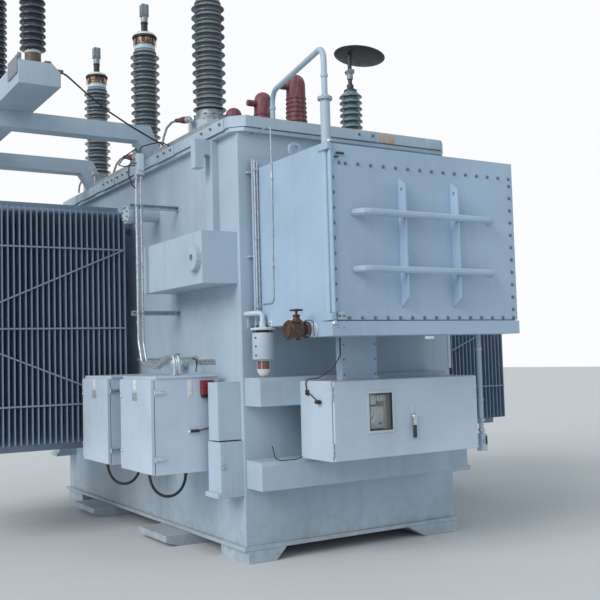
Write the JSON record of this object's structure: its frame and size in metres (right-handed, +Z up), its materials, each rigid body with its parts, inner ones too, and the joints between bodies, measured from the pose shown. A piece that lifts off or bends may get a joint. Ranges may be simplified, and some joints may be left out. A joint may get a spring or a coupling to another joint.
{
  "type": "power transformer",
  "caption": "Oil-filled power transformer with side radiators, porcelain bushings on the cover, surge arrester frame and a front tap changer housing.",
  "frame": {"origin": "on the ground under the middle of the whole outline", "axes": "+Z up; the front with the tap changer housing faces -Y; +X is to the right seen from the front"},
  "size_m": [6.003, 5.8812, 5.3299],
  "materials": {
    "paint": "satin sky-grey paint, slightly chalked",
    "cabinet_paint": "smooth pale grey paint",
    "galvanised": "dull galvanised steel and cast aluminium",
    "grey_porcelain": "glazed grey porcelain",
    "green_porcelain": "glazed grey-green porcelain",
    "brown_porcelain": "glazed dark brown porcelain",
    "red_rubber": "moulded maroon insulating cover",
    "dark_plastic": "dark moulded plastic",
    "bronze": "weathered bronze casting",
    "chrome": "polished chrome",
    "window_glass": "clear pane",
    "white_metal": "white enamel",
    "silica_gel": "red drying beads behind clear plastic",
    "black_rubber": "ribbed black cable hose"
  },
  "bodies": {
    "root": {"tank_base": "paint", "tank_body": "paint", "tank_cover": "paint", "upper_beam_left": "paint", "upper_beam_right": "paint", "mid_beam_left": "paint", "front_band_upper": "paint", "front_band_lower": "paint", "rear_band_upper": "paint", "rear_band_lower": "paint", "tap_changer_housing": "paint", "drive_cabinet": "cabinet_paint", "drive_mechanism": "dark_plastic", "drive_shaft_housing": "paint", "suction_pipe": "paint", "control_cabinet_1": "cabinet_paint", "control_cabinet_2": "cabinet_paint", "socket_cover": "red_rubber", "radiator_left_1": "paint", "radiator_left_2": "paint", "radiator_left_3": "paint", "radiator_right_1": "paint", "radiator_right_2": "paint", "radiator_braces_left": "paint", "radiator_braces_right": "paint", "hv_bushing_1": "grey_porcelain", "hv_bushing_2": "grey_porcelain", "hv_bushing_3": "grey_porcelain", "hv_cap_1": "galvanised", "hv_cap_2": "galvanised", "hv_cap_3": "galvanised", "arrester_arm_1": "paint", "arrester_arm_2": "paint", "arrester_beam": "paint", "arrester_1": "grey_porcelain", "arrester_2": "grey_porcelain", "arrester_3": "grey_porcelain", "lv_boot_1": "red_rubber", "lv_boot_2": "red_rubber", "lv_boot_3": "red_rubber", "neutral_bushing": "green_porcelain", "guard_disc": "dark_plastic", "small_arrester": "brown_porcelain", "vent_pipe": "paint", "conduit_riser": "galvanised", "breather_case": "white_metal", "breather_glass": "silica_gel", "breather_cup": "white_metal", "drain_valve": "bronze", "cable_hose_1": "black_rubber", "cable_hose_2": "black_rubber"},
    "tap_door": {"tap_changer_door": "paint", "tap_changer_handles": "paint"},
    "drive_door": {"drive_door": "cabinet_paint", "drive_window": "window_glass"},
    "drive_handle": {"drive_handle": "chrome"},
    "control_door_1": {"control_door_1": "cabinet_paint"},
    "control_door_2": {"control_door_2": "cabinet_paint"},
    "valve_wheel": {"valve_handwheel": "dark_plastic"}
  },
  "joints": [
    {"name": "tap_door_hinge", "type": "hinge", "parent": "root", "child": "tap_door", "pos_m": [-0.9, -2.8425, 1.848], "axis": [0, 0, -1], "range_deg": [0, 110]},
    {"name": "drive_door_hinge", "type": "hinge", "parent": "root", "child": "drive_door", "pos_m": [-0.699, -2.4673, 0.81], "axis": [0, 0, -1], "range_deg": [0, 120]},
    {"name": "drive_handle_turn", "type": "hinge", "parent": "drive_door", "child": "drive_handle", "pos_m": [0.048, -2.4862, 1.112], "axis": [0, -1, 0], "range_deg": [0, 90]},
    {"name": "control_door_1_hinge", "type": "hinge", "parent": "root", "child": "control_door_1", "pos_m": [-1.6975, -0.7665, 0.706], "axis": [0, 0, -1], "range_deg": [0, 120]},
    {"name": "control_door_2_hinge", "type": "hinge", "parent": "root", "child": "control_door_2", "pos_m": [-1.6975, 0.2185, 0.706], "axis": [0, 0, -1], "range_deg": [0, 90]},
    {"name": "valve_wheel_turn", "type": "hinge", "parent": "root", "child": "valve_wheel", "pos_m": [-1.0703, -2.6085, 1.9204], "axis": [0, 0, 1], "continuous": true}
  ]
}
